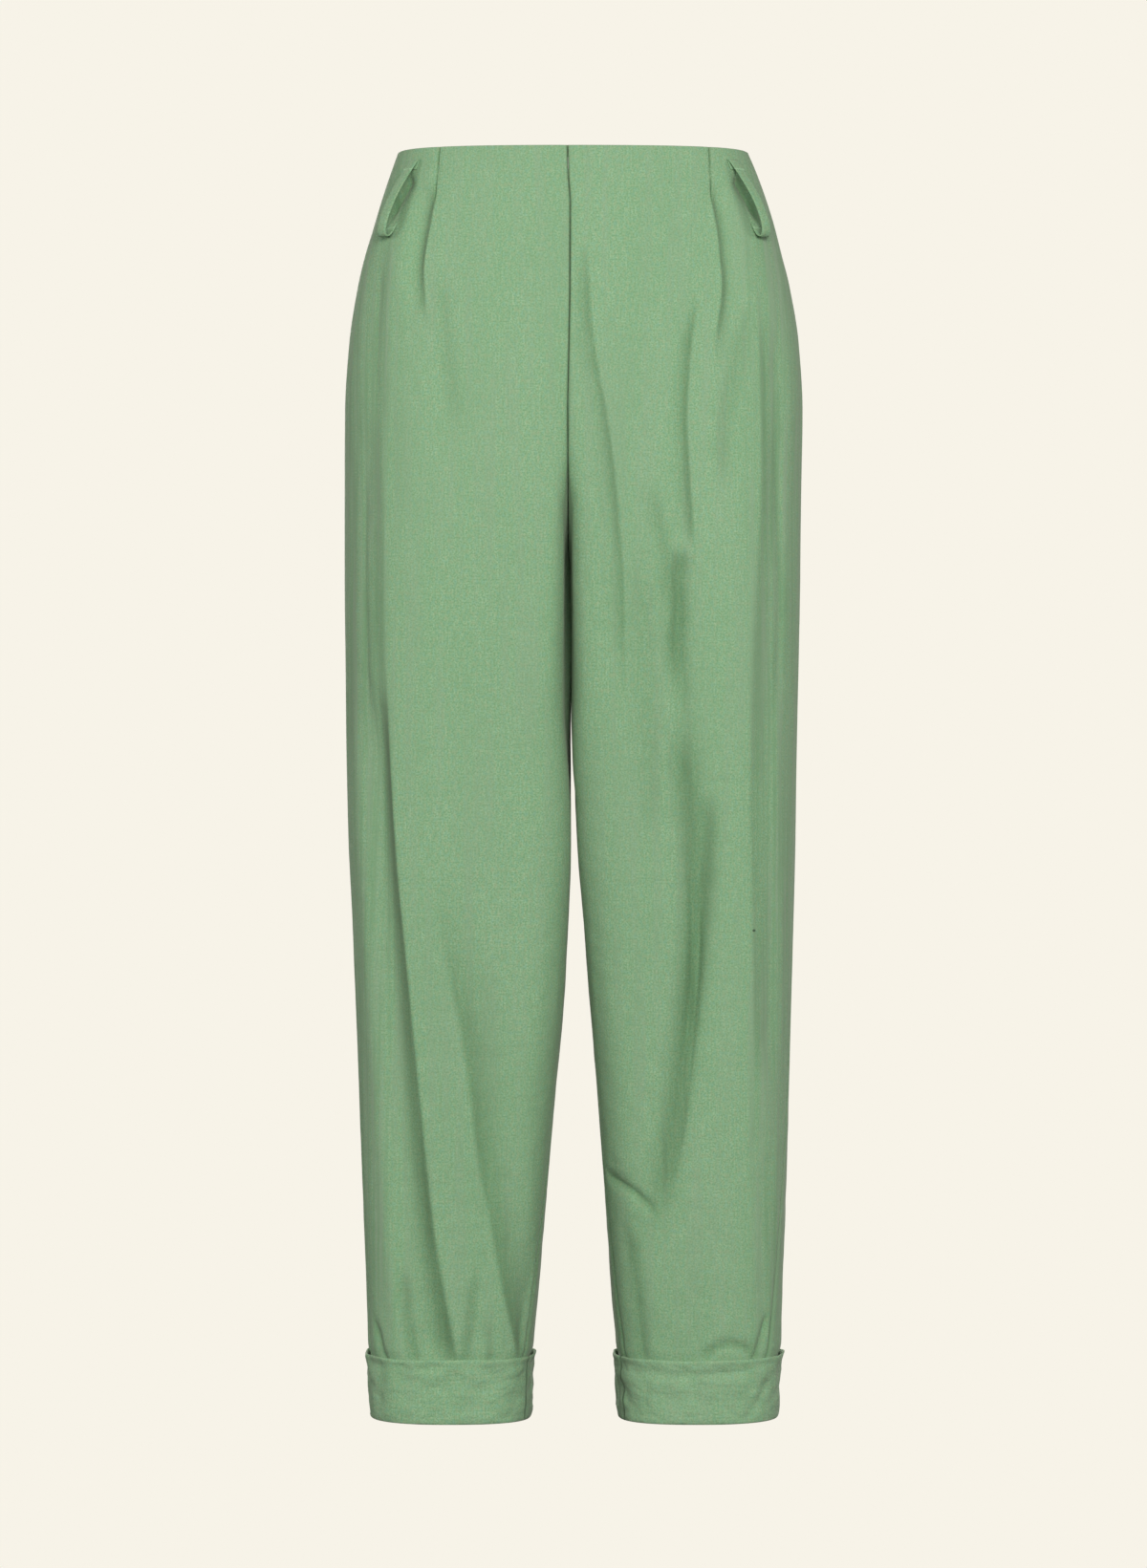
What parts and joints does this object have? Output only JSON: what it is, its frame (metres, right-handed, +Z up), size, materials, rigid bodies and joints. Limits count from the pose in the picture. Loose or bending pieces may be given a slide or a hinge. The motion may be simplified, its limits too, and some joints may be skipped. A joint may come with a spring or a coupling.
{
  "type": "cotton trousers",
  "caption": "Tapered cotton trousers, filled out as if worn, with a clean waist edge, front darts, belt loops and turned-up cuffs.",
  "frame": {"origin": "middle of the waist opening, at the height of the waist edge at the sides", "axes": "+Z up, the front faces -Y, the wearer's right leg is at -X"},
  "size_m": [0.3535, 0.2379, 0.976],
  "materials": {
    "cotton": "matt two-tone cotton weave with a soft sheen",
    "zip_tape": "matt woven tape",
    "zip_metal": "satin"
  },
  "bodies": {
    "trousers": {"front_right": "cotton", "front_left": "cotton", "back_right": "cotton", "back_left": "cotton", "cuff_right": "cotton", "cuff_left": "cotton", "belt_loop_right": "cotton", "belt_loop_left": "cotton", "zip_tape_right": "zip_tape", "zip_tape_left": "zip_tape", "zip_slider": "zip_metal"},
    "zip_pull": {"zip_pull": "zip_metal"}
  },
  "joints": [
    {"name": "zip_pull_hinge", "type": "hinge", "parent": "trousers", "child": "zip_pull", "pos_m": [0, 0.096, -0.00803], "axis": [1, 0, 0], "range_deg": [0, 150]}
  ]
}
